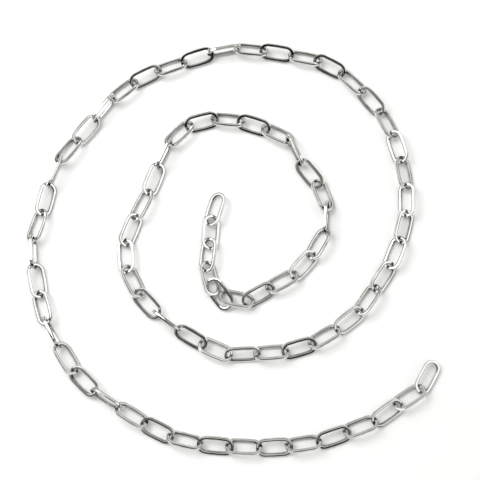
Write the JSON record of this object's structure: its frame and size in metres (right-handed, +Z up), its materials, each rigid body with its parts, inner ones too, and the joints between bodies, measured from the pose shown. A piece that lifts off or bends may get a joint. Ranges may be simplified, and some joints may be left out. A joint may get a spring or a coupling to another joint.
{
  "type": "paperclip chain",
  "caption": "Loose spiral of plated wire chain with long oval links, lying on a table as it was put down.",
  "frame": {"origin": "on the table under the middle of the whole spiral", "axes": "+Z up from the table, +X to the right and +Y away from the viewer of the picture"},
  "size_m": [0.1784, 0.184, 0.0081],
  "materials": {
    "plated_steel": "polished silver-coloured plating"
  },
  "bodies": {
    "root": {"link_01": "plated_steel", "link_02": "plated_steel", "links_03_04": "plated_steel", "links_05_06": "plated_steel", "links_07_08": "plated_steel", "links_09_10": "plated_steel", "links_11_12": "plated_steel", "links_13_14": "plated_steel", "links_15_16": "plated_steel", "link_17": "plated_steel", "links_18_19": "plated_steel", "link_20": "plated_steel", "links_21_22": "plated_steel", "link_23": "plated_steel", "links_24_25": "plated_steel", "link_26": "plated_steel", "link_27": "plated_steel", "link_28": "plated_steel", "links_29_30": "plated_steel", "link_31": "plated_steel", "links_32_33": "plated_steel", "link_34": "plated_steel", "link_35": "plated_steel", "link_36": "plated_steel", "link_37": "plated_steel", "link_38": "plated_steel", "link_39": "plated_steel", "link_40": "plated_steel", "link_41": "plated_steel", "link_42": "plated_steel", "link_43": "plated_steel", "link_44": "plated_steel", "links_45_46": "plated_steel", "link_47": "plated_steel", "link_48": "plated_steel", "links_49_50": "plated_steel", "link_51": "plated_steel", "links_52_53": "plated_steel", "link_54": "plated_steel", "link_55": "plated_steel", "link_56": "plated_steel", "link_57": "plated_steel", "links_58_59": "plated_steel", "link_60": "plated_steel", "link_61": "plated_steel", "link_62": "plated_steel", "link_63": "plated_steel", "link_64": "plated_steel", "links_65_66": "plated_steel", "link_67": "plated_steel", "links_68_69": "plated_steel", "link_70": "plated_steel", "link_71": "plated_steel", "link_72": "plated_steel", "link_73": "plated_steel", "link_74": "plated_steel", "link_75": "plated_steel", "link_76": "plated_steel", "link_77": "plated_steel", "link_78": "plated_steel"}
  },
  "joints": []
}
